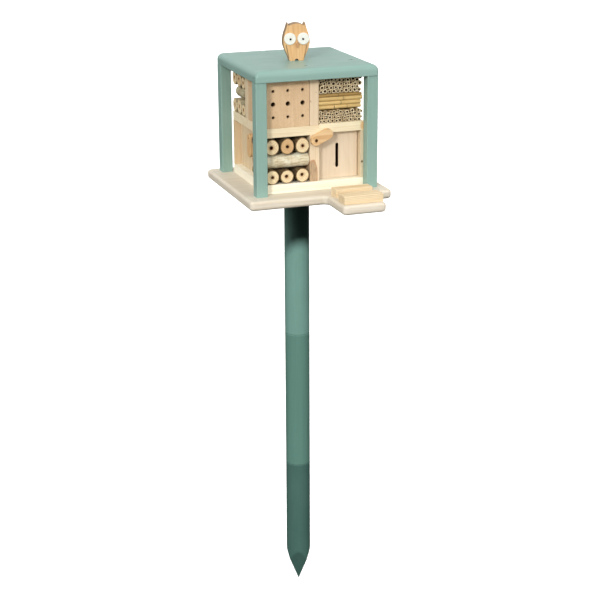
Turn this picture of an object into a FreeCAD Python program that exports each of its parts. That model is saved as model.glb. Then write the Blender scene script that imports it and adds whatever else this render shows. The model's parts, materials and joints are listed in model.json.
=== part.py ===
import FreeCAD, Part
import math
import os

# Insect hotel on a garden stake.  Millimetres, +Z up, front of the house towards -Y.
# The model is drawn with z = 0 on top of the base plate and moved up when it is written,
# so that the origin ends up on the stake's axis at the ground line.

V = FreeCAD.Vector
UP = V(0, 0, 1)

# Driving dimensions
BOARD = 18.0                # thickness of the pine boards
THIN = 6.0                  # thickness of the two thin room walls
EDGE = 0.8                  # eased edge of a sawn board
POST = 22.0                 # side of a square corner post
POST_OUTER = 122.0          # outer faces of the posts from the stake's axis
POST_HEIGHT = 215.8
ROOF_X = 244.0
ROOF_Y = 248.0
ROOF_THICK = 21.6
ROOF_ROUND = 12.0           # rounding of the roof's top edges
ROOF_CORNER = 5.0           # rounding of its upright corners
STAKE_R = 25.0              # a 50 mm round pole in three sections
SECTIONS = (304.0, 289.0, 279.0)
POINT = 75.0                # length of the sharpened point
BURIED = 200.0              # stake below the ground line
PLATE = BOARD

# Base plate outline and its landing tongue
PLATE_X = (-143.5, 141.5)
PLATE_Y = (-150.0, 140.0)
TONGUE_X = (7.5, 94.0)
TONGUE_Y = -238.0

# Core between the posts
CORE_X = 100.0
FRONT = -104.0
BACK = 92.0
DIVIDER = 9.5               # half thickness of the two dividers
LEFT_SHELF = 108.0          # underside of the left shelf
RIGHT_SHELF = 110.0         # underside of the right shelf
RECESS = 13.0               # doors stand back by this much
DOOR = 8.0                  # door thickness
DOOR_GAP = 0.6
PIN_R = 1.5
RUNNING = 0.05              # radial clearance of pins and pivots

# Boards that cross from the dividers to the left side
UPPER_CROSS_Y = (-6.0, 12.0)
LOWER_CROSS_Y = (-18.0, 0.0)
LOWER_CROSS_END = -91.0

# Turn-buttons
BUTTON_W = 20.0
BUTTON_REACH = 26.0         # between the centres of its rounded ends
BUTTON_T = 10.0
BUTTON_GAP = 0.3
BUTTON_TILT = 25.0          # front button, above horizontal
FRONT_PIVOT_Z = 98.6
LEFT_PIVOT_Y = -10.0        # leaves the left door's free edge room to pass
LEFT_PIVOT_Z = 89.0
SCREW_R = 1.8               # pivot screw: shank, head and length in the board
SCREW_HEAD_R = 3.0
SCREW_HEAD_T = 2.0
SCREW_HEAD_OUT = 7.0        # underside of the head above the board's face
SCREW_IN = 20.0
SEAT_R = 3.4                # counterbore in the button

FLOOR_Z = sum(SECTIONS) + PLATE - BURIED    # top of the base plate above the ground line
HINGE_IN = DOOR / 2 + 0.4                   # hinge axis from the room wall


def save(name, shape):
    shape = shape.copy()
    shape.translate(V(0, 0, FLOOR_Z))
    shape.exportStep("parts/" + name + ".step")


def box(x0, y0, z0, x1, y1, z1):
    return Part.makeBox(x1 - x0, y1 - y0, z1 - z0, V(x0, y0, z0))


def board(x0, y0, z0, x1, y1, z1, ease=EDGE):
    shape = box(x0, y0, z0, x1, y1, z1)
    return shape.makeFillet(ease, shape.Edges)


def rod(r, length, start, direction):
    return Part.makeCylinder(r, length, start, direction)


def fillet_where(shape, radius, test):
    return shape.makeFillet(radius, [e for e in shape.Edges if test(e)])


def is_vertical(edge):
    a, b = edge.Vertexes[0].Point, edge.Vertexes[-1].Point
    return abs(a.x - b.x) < 1e-6 and abs(a.y - b.y) < 1e-6


def rises(edge):
    """An upright corner edge, or the curve that carries it on over a rounded top edge."""
    a, b = edge.Vertexes[0].Point, edge.Vertexes[-1].Point
    return abs(a.z - b.z) > 1e-6


def lies_at(edge, z):
    return all(abs(v.Point.z - z) < 1e-6 for v in edge.Vertexes)


def outline(points):
    return Part.Face(Part.makePolygon([V(*p) for p in points + points[:1]]))


def countersunk_screw(radius, length, head_r, start, direction):
    """A wood screw whose flat head lies flush at start and whose shank runs along direction."""
    head = Part.makeCone(head_r, radius, head_r - radius, start, direction)
    return head.fuse(rod(radius, length, start, direction))


# ---------------------------------------------------------------- frame

def post_centres():
    out = POST_OUTER - POST / 2
    return {
        "front_left": V(-out, -out, 0),
        "front_right": V(out, -out, 0),
        "back_left": V(-out, out, 0),
        "back_right": V(out, out, 0),
    }


def post_screw(at):
    return countersunk_screw(2.2, 45, 4.4, V(at.x, at.y, -PLATE), UP)


def roof_dowel(at):
    return rod(4, 28, V(at.x, at.y, POST_HEIGHT - 16), UP)


def stake_screw():
    return countersunk_screw(3.2, 90, 7, V(0, 0, 0), -UP)


def core_screws():
    places = [(x, y) for x in (-70, 60) for y in (-90, 78)]
    return [countersunk_screw(1.9, 30, 3.8, V(x, y, -PLATE), UP) for x, y in places]


def owl_dowels():
    """Two pins, one in each half of the owl's notched foot."""
    return [stand_owl(rod(2, 22, V(x, 0, -11), UP)) for x in (-8.7, 8.7)]


def make_roof():
    top = POST_HEIGHT + ROOF_THICK
    roof = box(-ROOF_X / 2, -ROOF_Y / 2, POST_HEIGHT, ROOF_X / 2, ROOF_Y / 2, top)
    roof = fillet_where(roof, ROOF_ROUND, lambda e: lies_at(e, top))
    roof = fillet_where(roof, ROOF_CORNER, rises)
    roof = fillet_where(roof, 1.2, lambda e: lies_at(e, POST_HEIGHT))
    roof = roof.cut([roof_dowel(at) for at in post_centres().values()])
    return roof.cut(owl_dowels())


def make_post(at):
    half = POST / 2
    post = box(at.x - half, at.y - half, 0, at.x + half, at.y + half, POST_HEIGHT)
    post = fillet_where(post, 1.8, is_vertical)
    return post.cut([post_screw(at), roof_dowel(at)])


def make_base_plate():
    (x0, x1), (y0, y1) = PLATE_X, PLATE_Y
    (t0, t1) = TONGUE_X
    plan = [(x0, y0), (t0, y0), (t0, TONGUE_Y), (t1, TONGUE_Y), (t1, y0), (x1, y0), (x1, y1), (x0, y1)]
    plate = outline([(x, y, -PLATE) for x, y in plan]).extrude(V(0, 0, PLATE))
    plate = fillet_where(plate, 9, is_vertical)
    plate = fillet_where(plate, 6, lambda e: lies_at(e, 0))
    plate = fillet_where(plate, 6, lambda e: lies_at(e, -PLATE))
    holes = [post_screw(at) for at in post_centres().values()]
    return plate.cut(holes + core_screws() + [stake_screw()])


def make_landing_slats():
    save("landing_slat_front", board(13, -227, 0, 91, -196, 15.5, 1))
    save("landing_slat_back", board(16.5, -174, 0, 91, -149, 16, 1))


# ---------------------------------------------------------------- stake

def stake_levels():
    z = [-PLATE]
    for length in SECTIONS:
        z.append(z[-1] - length)
    return z


def stake_studs():
    upper, lower = stake_levels()[1:3]
    return [rod(4, 80, V(0, 0, z - 40), UP) for z in (upper, lower)]


def stake_section(top, bottom):
    pole = rod(STAKE_R, top - bottom, V(0, 0, bottom), UP)
    return pole.makeChamfer(1.2, [e for e in pole.Edges if lies_at(e, top) or lies_at(e, bottom)])


def make_lower_section(top, tip):
    """The last section: four flat cuts that meet in a point."""
    pole = rod(STAKE_R, top - tip, V(0, 0, tip), UP)
    pole = pole.makeChamfer(1.2, [e for e in pole.Edges if lies_at(e, top)])
    rise = top - tip + 1
    half = STAKE_R * rise / POINT
    corners = [V(half * sx, half * sy, tip + rise) for sx, sy in ((1, 1), (-1, 1), (-1, -1), (1, -1))]
    apex = V(0, 0, tip)
    faces = [Part.Face(Part.makePolygon([apex, a, b, apex]))
             for a, b in zip(corners, corners[1:] + corners[:1])]
    faces.append(Part.Face(Part.makePolygon(corners + corners[:1])))
    pyramid = Part.Solid(Part.Shell(faces))
    if pyramid.Volume < 0:
        pyramid.reverse()
    pyramid.rotate(V(0, 0, 0), UP, -20)
    return pole.common(pyramid)


def make_stake():
    z0, z1, z2, z3 = stake_levels()
    studs = stake_studs()
    save("stake_upper_section", stake_section(z0, z1).cut([stake_screw(), studs[0]]))
    save("stake_middle_section", stake_section(z1, z2).cut(studs))
    save("stake_lower_section", make_lower_section(z2, z3).cut(studs[1]))
    save("stake_studs", Part.Compound(studs))
    save("stake_top_screw", stake_screw())


# ---------------------------------------------------------------- core boards

def front_button_screw():
    return button_screw(V(0, FRONT, FRONT_PIVOT_Z), V(0, -1, 0))


def left_button_screw():
    return button_screw(V(LOWER_CROSS_END, LEFT_PIVOT_Y, LEFT_PIVOT_Z), V(-1, 0, 0))


def front_door_axis():
    return CORE_X - THIN - HINGE_IN, FRONT + RECESS + DOOR / 2


def left_door_axis():
    return -CORE_X + RECESS + DOOR / 2, BACK - THIN - HINGE_IN


def door_pins(axis, ceiling, radius=PIN_R):
    """Two nails on one vertical line: one stands in the floor board, one hangs from the shelf."""
    x, y = axis
    return [rod(radius, 18, V(x, y, BOARD - 8), UP), rod(radius, 18, V(x, y, ceiling - 10), UP)]


def side_wall_brad():
    return rod(1.3, 25, V(CORE_X - THIN / 2, FRONT, 48.6), V(0, 1, 0))


def make_core():
    front_pins = door_pins(front_door_axis(), RIGHT_SHELF)
    left_pins = door_pins(left_door_axis(), LEFT_SHELF)
    floor = board(-CORE_X, FRONT, 0, CORE_X, BACK, BOARD)
    save("bottom_board", floor.cut(core_screws() + [front_pins[0], left_pins[0]]))
    left = board(-CORE_X, FRONT, LEFT_SHELF, DIVIDER, BACK, LEFT_SHELF + BOARD)
    save("left_shelf", left.cut(left_pins[1]))
    right = board(DIVIDER, FRONT, RIGHT_SHELF, CORE_X, BACK, RIGHT_SHELF + BOARD)
    save("right_shelf", right.cut(front_pins[1]))
    lower = board(-DIVIDER, FRONT, BOARD, DIVIDER, BACK, LEFT_SHELF)
    save("lower_divider", lower.cut(front_button_screw()))
    save("upper_divider", board(-DIVIDER, FRONT, LEFT_SHELF + BOARD, DIVIDER - 1, BACK, POST_HEIGHT))
    (y0, y1) = UPPER_CROSS_Y
    save("upper_cross_board", board(-CORE_X, y0, LEFT_SHELF + BOARD, -DIVIDER, y1, POST_HEIGHT))
    (y0, y1) = LOWER_CROSS_Y
    cross = board(LOWER_CROSS_END, y0, BOARD, -DIVIDER, y1, LEFT_SHELF)
    save("lower_cross_board", cross.cut(left_button_screw()))
    side = board(CORE_X - THIN, FRONT, BOARD, CORE_X, BACK, RIGHT_SHELF, 0.5)
    save("right_side_wall", side.cut(side_wall_brad()))
    save("right_room_back_wall", board(DIVIDER, BACK - THIN, BOARD, CORE_X - THIN, BACK, RIGHT_SHELF, 0.5))
    save("left_room_back_wall", board(-CORE_X, BACK - THIN, BOARD, -DIVIDER, BACK, LEFT_SHELF, 0.5))
    save("front_door_pins", Part.Compound(front_pins))
    save("left_door_pins", Part.Compound(left_pins))
    save("side_wall_brad", side_wall_brad())


# ---------------------------------------------------------------- doors and turn-buttons

SLOT_X = 50.0
SLOT_W = 6.0
SLOT_Z = (39.0, 86.5)


def make_front_door():
    """Door of the butterfly room: hinge stile rounded about the pins, one upright slot."""
    x, y = front_door_axis()
    z0, z1 = BOARD + DOOR_GAP, RIGHT_SHELF - DOOR_GAP
    panel = box(DIVIDER + DOOR_GAP, y - DOOR / 2, z0, x, y + DOOR / 2, z1)
    panel = panel.fuse(rod(DOOR / 2, z1 - z0, V(x, y, z0), UP)).removeSplitter()
    r = SLOT_W / 2
    low, high = SLOT_Z[0] + r, SLOT_Z[1] - r
    slot = box(SLOT_X - r, y - DOOR, low, SLOT_X + r, y + DOOR, high)
    ends = [rod(r, 2 * DOOR, V(SLOT_X, y - DOOR, z), V(0, 1, 0)) for z in (low, high)]
    slot = slot.fuse(ends)
    return panel.cut([slot] + door_pins((x, y), RIGHT_SHELF, PIN_R + RUNNING))


def make_left_door():
    x, y = left_door_axis()
    z0, z1 = BOARD + DOOR_GAP, LEFT_SHELF - DOOR_GAP
    panel = box(x - DOOR / 2, LOWER_CROSS_Y[1] + DOOR_GAP, z0, x + DOOR / 2, y, z1)
    panel = panel.fuse(rod(DOOR / 2, z1 - z0, V(x, y, z0), UP)).removeSplitter()
    return panel.cut(door_pins((x, y), LEFT_SHELF, PIN_R + RUNNING))


def button_screw(face, outwards):
    """Pan-head screw in a board's face; its head sits down in the button's counterbore."""
    shank = rod(SCREW_R, SCREW_IN + SCREW_HEAD_OUT, face - outwards * SCREW_IN, outwards)
    head = rod(SCREW_HEAD_R, SCREW_HEAD_T, face + outwards * SCREW_HEAD_OUT, outwards)
    return shank.fuse(head)


def make_button():
    """Strip with rounded ends along +X, pivot at the origin, its back face at y = 0."""
    r = BUTTON_W / 2
    forwards = V(0, -1, 0)
    strip = box(0, -BUTTON_T, -r, BUTTON_REACH, 0, r)
    ends = [rod(r, BUTTON_T, V(x, 0, 0), forwards) for x in (0, BUTTON_REACH)]
    strip = strip.fuse(ends).removeSplitter()
    rims = [e for e in strip.Edges if abs(e.Vertexes[0].Point.y - e.Vertexes[-1].Point.y) < 1e-6]
    strip = strip.makeFillet(EDGE, rims)
    bore = rod(SCREW_R + RUNNING, BUTTON_T, V(0, 0, 0), forwards)
    seat_floor = SCREW_HEAD_OUT - 2 * BUTTON_GAP
    seat = rod(SEAT_R, BUTTON_T, forwards * seat_floor, forwards)
    return strip.cut([bore, seat])


def make_front_button():
    button = make_button()
    button.rotate(V(0, 0, 0), V(0, -1, 0), BUTTON_TILT)
    button.translate(V(0, FRONT - BUTTON_GAP, FRONT_PIVOT_Z))
    return button


def make_left_button():
    button = make_button()
    button.rotate(V(0, 0, 0), V(0, 1, 0), 90)
    button.rotate(V(0, 0, 0), UP, -90)
    button.translate(V(LOWER_CROSS_END - BUTTON_GAP, LEFT_PIVOT_Y, LEFT_PIVOT_Z))
    return button


# ---------------------------------------------------------------- nesting fillings

BORE_DEPTH = 70.0


def make_drilled_block():
    block = board(-CORE_X + 0.4, FRONT + 0.5, LEFT_SHELF + BOARD, -DIVIDER - 0.6, UPPER_CROSS_Y[0], 214.5, 1)
    rows = [(195.8, 3.05), (171.2, 4.5), (146.3, 3.05)]
    holes = [rod(r, BORE_DEPTH + 5, V(x, FRONT - 5, z), V(0, 1, 0))
             for z, r in rows for x in (-82.0, -52.8, -23.6)]
    return block.cut(holes)


def bored_log(radius, start, direction, length, hole_r, hole_at):
    """A log with a blind bore in its outer end, set off from the log's centre by hole_at."""
    log = rod(radius, length, start, direction)
    return log.cut(rod(hole_r, BORE_DEPTH + 1, start + hole_at - direction, direction))


def make_front_stack():
    """Six bored logs with their ends to the front, and two cross logs between the rows."""
    inwards = V(0, 1, 0)
    length = LOWER_CROSS_Y[0] - 4 - FRONT - 0.5
    rows = {
        "lower": [(-85.0, 14.2, 3.3, 0.6, 0.0), (-55.4, 13.5, 3.1, -1.2, 0.8), (-24.4, 13.9, 3.1, -1.0, 1.5)],
        "upper": [(-85.0, 14.4, 3.8, -1.2, 0.6), (-54.6, 14.2, 3.1, 0.4, 0.8), (-24.2, 14.2, 3.1, 0.4, 0.4)],
    }
    cross_r = 13.9
    cross_z = BOARD + 2 * 14.2 + cross_r
    bases = {"lower": BOARD, "upper": cross_z + cross_r}
    for row, logs in rows.items():
        for place, (x, r, hole_r, dx, dz) in zip(("left", "middle", "right"), logs):
            start = V(x, FRONT + 0.5, bases[row] + r)
            log = bored_log(r, start, inwards, length, hole_r, V(dx, 0, dz))
            save("front_log_" + row + "_" + place, log)
    cross = [rod(cross_r, 88, V(-98.5, y, cross_z), V(1, 0, 0))
             for y in (FRONT + 1 + cross_r, LOWER_CROSS_Y[0] - 6 - cross_r)]
    save("front_cross_logs", Part.Compound(cross))


def make_left_stack():
    """The same stack in the upper back corner, with its log ends to the left."""
    inwards = V(1, 0, 0)
    length = CORE_X - 0.5 - 12
    logs = {"front": (24.6, 12.2), "middle": (51.6, 14.8), "back": (80.0, 13.6)}
    cross_r = 11.8
    floor = LEFT_SHELF + BOARD
    thickest = max(r for y, r in logs.values())
    cross_z = floor + 2 * thickest + cross_r
    bases = {"lower": floor, "upper": cross_z + cross_r}
    for row, base in bases.items():
        for place, (y, r) in logs.items():
            start = V(-CORE_X + 0.5, y, base + r)
            log = bored_log(r, start, inwards, length, 3.1, V(0, 0.8, 0.5))
            save("left_log_" + row + "_" + place, log)
    cross = [rod(cross_r, 64, V(x, UPPER_CROSS_Y[1] + 1, cross_z), V(0, 1, 0)) for x in (-87, -28)]
    save("left_cross_logs", Part.Compound(cross))


def tube(r, bore, start, direction, length):
    reed = rod(r, length, start, direction)
    return reed.cut(rod(bore, length + 2, start - direction, direction))


def reed_layer(radius, bore, rows, columns, floor):
    """Reeds that run from front to back, each row nested in the hollows of the row below."""
    pitch = 2 * radius + 0.06
    reeds = []
    for row in range(rows):
        z = floor + radius + row * pitch * math.sin(math.radians(60))
        for column in range(columns - row % 2):
            x = DIVIDER + radius + (column + 0.5 * (row % 2)) * pitch
            y = FRONT + 0.5 + (row * 5 + column * 3) % 4 * 0.6
            reeds.append(tube(radius, bore, V(x, y, z), V(0, 1, 0), BACK - 1 - y))
    return Part.Compound(reeds)


def cane_layer(radius, bore, rows, columns, floor):
    """Canes that run from the divider to the open right side."""
    pitch = 2 * radius + 0.05
    canes = []
    for row in range(rows):
        z = floor + radius + row * pitch
        for column in range(columns):
            start = V(DIVIDER, FRONT + 0.8 + radius + column * pitch, z)
            length = 85.5 + (row * 7 + column * 5) % 4 * 0.8
            canes.append(tube(radius, bore, start, V(1, 0, 0), length))
    return Part.Compound(canes)


def make_reeds():
    floor = RIGHT_SHELF + BOARD
    canes_floor = floor + 26.0
    upper_floor = canes_floor + 30.3
    save("lower_reeds", reed_layer(3.35, 1.9, 4, 13, floor))
    save("middle_canes", cane_layer(3.75, 1.9, 4, 25, canes_floor))
    save("upper_reeds", reed_layer(4.3, 2.9, 4, 10, upper_floor))


# ---------------------------------------------------------------- owl

OWL_T = 24.0
OWL_AT = (-6.1, -16.8)      # middle of its foot on the roof
OWL_TURN = -11.0            # turned a little to the left of straight ahead
OWL_FOOT = 13.8
OWL_EAR = (17.0, 71.4)
OWL_EYE = (12.8, 41.9)
OWL_EYE_R = 11.2


def owl_outline():
    """Closed outline in the x-z plane: foot with a notch, swelling flanks, ears, crown."""
    foot, (ear_x, ear_z) = OWL_FOOT, OWL_EAR
    flank = [(foot, 0), (19.8, 15.0), (24.4, 27.0), (25.6, 37.0), (23.4, 50.0), (19.4, 62.0), (ear_x, ear_z)]
    right = Part.BSplineCurve()
    right.interpolate([V(x, 0, z) for x, z in flank])
    left = Part.BSplineCurve()
    left.interpolate([V(-x, 0, z) for x, z in reversed(flank)])
    valley = V(14.4, 0, 66.0)
    mirrored = V(-valley.x, 0, valley.z)
    notch = 3.8
    edges = [
        Part.Arc(V(-notch, 0, 0), V(0, 0, notch), V(notch, 0, 0)),
        Part.LineSegment(V(notch, 0, 0), V(foot, 0, 0)),
        right,
        Part.LineSegment(V(ear_x, 0, ear_z), valley),
        Part.Arc(valley, V(0, 0, 70.2), mirrored),
        Part.LineSegment(mirrored, V(-ear_x, 0, ear_z)),
        left,
        Part.LineSegment(V(-foot, 0, 0), V(-notch, 0, 0)),
    ]
    return Part.Face(Part.Wire([e.toShape() for e in edges]))


def wing_groove(side):
    """A shallow saw cut that marks the edge of a wing."""
    top, bottom = V(side * 20.0, 0, 30), V(side * 14.6, 0, 5)
    run = bottom - top
    cut = box(-0.9, -OWL_T / 2 - 1, 0, 0.9, -OWL_T / 2 + 1.6, run.Length)
    cut.rotate(V(0, 0, 0), V(0, 1, 0), math.degrees(math.atan2(-run.x, -run.z)))
    cut.translate(bottom)
    return cut


def stand_owl(shape):
    shape.rotate(V(0, 0, 0), UP, OWL_TURN)
    shape.translate(V(OWL_AT[0], OWL_AT[1], POST_HEIGHT + ROOF_THICK))
    return shape


def make_owl():
    face_y = -OWL_T / 2
    body = owl_outline().extrude(V(0, OWL_T, 0))
    body.translate(V(0, face_y, 0))
    rims = [e for e in body.Edges if not e.isClosed() and all(
        abs(abs(v.Point.y) - OWL_T / 2) < 1e-6 for v in e.Vertexes) and e.Length > 40]
    body = body.makeFillet(2.0, rims)
    body = stand_owl(body.cut([wing_groove(-1), wing_groove(1)]))
    save("owl_body", body.cut(owl_dowels()))
    save("owl_dowels", Part.Compound(owl_dowels()))
    forwards = V(0, -1, 0)
    (eye_x, eye_z) = OWL_EYE
    for side, name in ((-1, "left"), (1, "right")):
        disc = rod(OWL_EYE_R, 3, V(side * eye_x, face_y, eye_z), forwards)
        rim = [e for e in disc.Edges if e.isClosed() and abs(e.Vertexes[0].Point.y - face_y + 3) < 1e-6]
        save("owl_" + name + "_eye", stand_owl(disc.makeFillet(1.0, rim)))
    pupils = [rod(1.9, 1.2, V(side * (eye_x - 0.8), face_y - 3, eye_z - 0.6), forwards) for side in (-1, 1)]
    save("owl_pupils", Part.Compound([stand_owl(p) for p in pupils]))
    kite = outline([(0, face_y, 24), (3.6, face_y, 31.5), (0.6, face_y, 35.4), (-2.6, face_y, 31.5)])
    beak = kite.extrude(forwards * 3.6)
    beak.translate(V(1.2, 0, 0))
    save("owl_beak", stand_owl(beak))


# ---------------------------------------------------------------- all parts

def main():
    os.makedirs("parts", exist_ok=True)
    make_stake()
    save("base_plate", make_base_plate())
    make_landing_slats()
    for name, at in post_centres().items():
        save(name + "_post", make_post(at))
    save("roof", make_roof())
    save("roof_dowels", Part.Compound([roof_dowel(at) for at in post_centres().values()]))
    save("post_screws", Part.Compound([post_screw(at) for at in post_centres().values()]))
    save("core_screws", Part.Compound(core_screws()))
    make_core()
    save("front_door", make_front_door())
    save("left_door", make_left_door())
    save("front_turn_button", make_front_button())
    save("left_turn_button", make_left_button())
    save("front_button_screw", front_button_screw())
    save("left_button_screw", left_button_screw())
    save("drilled_block", make_drilled_block())
    make_front_stack()
    make_left_stack()
    make_reeds()
    make_owl()


main()
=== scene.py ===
import bmesh
import bpy
import json
import math
import random
from mathutils import Matrix, Vector, noise


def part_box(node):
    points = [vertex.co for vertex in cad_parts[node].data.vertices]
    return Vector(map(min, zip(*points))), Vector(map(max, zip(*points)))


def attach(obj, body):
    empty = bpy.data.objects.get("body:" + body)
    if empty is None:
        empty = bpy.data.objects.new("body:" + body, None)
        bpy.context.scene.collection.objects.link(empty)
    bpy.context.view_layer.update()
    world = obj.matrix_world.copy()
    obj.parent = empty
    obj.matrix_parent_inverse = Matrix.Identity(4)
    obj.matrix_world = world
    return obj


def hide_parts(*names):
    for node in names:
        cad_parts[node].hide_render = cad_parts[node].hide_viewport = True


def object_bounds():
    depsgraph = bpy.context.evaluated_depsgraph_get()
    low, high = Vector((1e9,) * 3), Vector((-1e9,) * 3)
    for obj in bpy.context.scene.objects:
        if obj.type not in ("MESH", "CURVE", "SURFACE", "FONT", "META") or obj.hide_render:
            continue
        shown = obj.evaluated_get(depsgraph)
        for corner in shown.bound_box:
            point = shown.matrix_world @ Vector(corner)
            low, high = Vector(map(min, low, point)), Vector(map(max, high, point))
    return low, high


# Insect hotel on a garden stake.  Metres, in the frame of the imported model:
# +Z up, the front towards -Y, the origin on the stake's axis at the ground line.

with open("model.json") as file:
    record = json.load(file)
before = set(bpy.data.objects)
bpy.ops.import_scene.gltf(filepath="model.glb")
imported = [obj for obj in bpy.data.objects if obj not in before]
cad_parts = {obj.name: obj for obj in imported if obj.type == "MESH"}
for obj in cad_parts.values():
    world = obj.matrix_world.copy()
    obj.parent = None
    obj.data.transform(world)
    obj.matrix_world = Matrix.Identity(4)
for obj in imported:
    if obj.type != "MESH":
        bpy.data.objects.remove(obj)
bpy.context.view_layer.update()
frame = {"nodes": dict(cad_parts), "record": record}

MM = 0.001
TAU = 2 * math.pi


# ---------------------------------------------------------------- camera, light and floor

CAMERA_AT = Vector((-0.93906, -2.64470, 1.37793))
CAMERA_TURN = math.radians(19.668)      # looks this far to the right of straight ahead
CAMERA_DIP = math.radians(18.553)       # and this far down
CAMERA_ROLL = math.radians(-0.273)
CAMERA_LENS = 87.34                     # on a 36 mm sensor
# Soft lights as large suns: direction of travel, energy, width in degrees.  The stake has a key light of
# its own, more from the front than the house's, so that the base plate throws its shadow down the pole.
HOUSE_LIGHTS = {
    "key": ((0.85, 1.0, -0.55), 1.75, 11),
    "front_fill": ((-0.35, 1.0, -0.25), 1.45, 60),
    "top_fill": ((0.1, 0.5, -1.0), 0.85, 80),
    "left_fill": ((1.0, 0.2, -0.30), 0.95, 70),
    "right_fill": ((-1.0, -0.2, -0.40), 1.1, 70),
    "back_fill": ((-0.3, -1.0, -0.45), 1.2, 70),
}
STAKE_LIGHTS = {
    "stake_key": ((0.27, 1.0, -0.90), 4.5, 8),
    "stake_left_fill": ((1.0, -0.5, -0.50), 1.3, 60),
    "stake_back_fill": ((-0.6, -1.0, -0.30), 2.4, 60),
}


def make_camera():
    """A camera turned, dipped and rolled as named above."""
    data = bpy.data.cameras.new("camera")
    data.lens = CAMERA_LENS
    camera = bpy.data.objects.new("camera", data)
    forward = Vector((math.sin(CAMERA_TURN) * math.cos(CAMERA_DIP),
                      math.cos(CAMERA_TURN) * math.cos(CAMERA_DIP), -math.sin(CAMERA_DIP)))
    right = forward.cross(Vector((0, 0, 1))).normalized()
    up = right.cross(forward)
    rolled_right = right * math.cos(CAMERA_ROLL) + up * math.sin(CAMERA_ROLL)
    rolled_up = rolled_right.cross(forward)
    turn = Matrix((rolled_right, rolled_up, -forward)).transposed()
    camera.matrix_world = Matrix.Translation(CAMERA_AT) @ turn.to_4x4()
    bpy.context.scene.collection.objects.link(camera)
    bpy.context.scene.camera = camera


def make_lights():
    """Links each set of lights to the pieces that it shines on."""
    pieces = [thing for thing in bpy.context.scene.objects if thing.type == "MESH"]
    for group, lights in (("house", HOUSE_LIGHTS), ("stake", STAKE_LIGHTS)):
        lit = bpy.data.collections.new("lit_" + group)
        for thing in pieces:
            if thing.name.startswith("stake_") == (group == "stake"):
                lit.objects.link(thing)
        for name, (travel, energy, width) in lights.items():
            data = bpy.data.lights.new(name, "SUN")
            data.energy = energy
            data.angle = math.radians(width)
            data.color = (1.0, 0.985, 0.955)
            sun = bpy.data.objects.new(name, data)
            sun.rotation_mode = "QUATERNION"
            sun.rotation_quaternion = Vector(travel).to_track_quat("-Z", "Y")
            sun.light_linking.receiver_collection = lit
            sun.visible_glossy = "fill" not in name
            bpy.context.scene.collection.objects.link(sun)


def make_sky():
    """A dim studio: brighter overhead, and brightest at the back, where the roof mirrors it."""
    world = bpy.data.worlds.new("studio")
    world.use_nodes = True
    tree = world.node_tree
    place = tree.nodes.new("ShaderNodeTexCoord")
    split = tree.nodes.new("ShaderNodeSeparateXYZ")
    tree.links.new(place.outputs["Generated"], split.inputs[0])

    def ramp(axis, low, high, dark, bright):
        made = tree.nodes.new("ShaderNodeMapRange")
        for socket, value in (("From Min", low), ("From Max", high), ("To Min", dark), ("To Max", bright)):
            made.inputs[socket].default_value = value
        tree.links.new(split.outputs[axis], made.inputs["Value"])
        return made.outputs[0]

    def combine(operation, a, b):
        made = tree.nodes.new("ShaderNodeMath")
        made.operation = operation
        tree.links.new(a, made.inputs[0])
        tree.links.new(b, made.inputs[1])
        return made.outputs[0]

    dome = ramp("Z", 0.1, 1.0, 0.02, 0.30)
    glow = combine("MULTIPLY", ramp("Y", 0.3, 0.9, 0.0, 0.55), ramp("Z", -0.02, 0.08, 0.0, 1.0))
    background = tree.nodes["Background"]
    tree.links.new(combine("ADD", dome, glow), background.inputs["Strength"])
    background.inputs["Color"].default_value = (0.97, 0.985, 1.0, 1.0)
    bpy.context.scene.world = world


def make_floor():
    """A plain pale floor just under the stake's tip."""
    size = 30.0
    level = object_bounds()[0].z - 0.5 * MM
    mesh = bpy.data.meshes.new("floor")
    corners = [(-size, -size, level), (size, -size, level), (size, size, level), (-size, size, level)]
    mesh.from_pydata(corners, [], [(0, 1, 2, 3)])
    floor = bpy.data.objects.new("floor", mesh)
    bpy.context.scene.collection.objects.link(floor)
    g = Graph("floor_white")
    g.shader.inputs["Base Color"].default_value = (0.92, 0.92, 0.915, 1)
    g.shader.inputs["Roughness"].default_value = 0.9
    g.shader.inputs["Emission Color"].default_value = (1, 1, 1, 1)
    g.shader.inputs["Emission Strength"].default_value = 0.42
    mesh.materials.append(g.material)
    floor.visible_diffuse = False       # keeps the floor's glow off the base plate and the stake
    floor.visible_glossy = False


def make_backdrop():
    """A white dome far behind everything, which only the camera sees."""
    around, levels, radius, sunk = 48, 12, 29.0, 1.0
    mesh = bpy.data.meshes.new("backdrop")
    points, faces = [], []
    for j in range(levels):
        rise = math.pi / 2 * j / levels
        for k in range(around):
            turn = TAU * k / around
            flat = radius * math.cos(rise)
            points.append((flat * math.cos(turn), flat * math.sin(turn), radius * math.sin(rise) - sunk))
    top = len(points)
    points.append((0.0, 0.0, radius - sunk))
    for k in range(around):
        after = (k + 1) % around
        for low in range(0, (levels - 1) * around, around):
            faces.append((low + k, low + after, low + around + after, low + around + k))
        last = (levels - 1) * around
        faces.append((last + k, last + after, top))
    mesh.from_pydata(points, [], faces)
    dome = bpy.data.objects.new("backdrop", mesh)
    bpy.context.scene.collection.objects.link(dome)
    g = Graph("backdrop_white")
    g.shader.inputs["Base Color"].default_value = (0.0, 0.0, 0.0, 1)
    g.shader.inputs["Specular IOR Level"].default_value = 0.0
    g.shader.inputs["Emission Color"].default_value = (1, 1, 1, 1)
    g.shader.inputs["Emission Strength"].default_value = 1.0
    mesh.materials.append(g.material)
    for kind in ("diffuse", "glossy", "transmission", "volume_scatter", "shadow"):
        setattr(dome, "visible_" + kind, False)


# ---------------------------------------------------------------- material graphs

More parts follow.
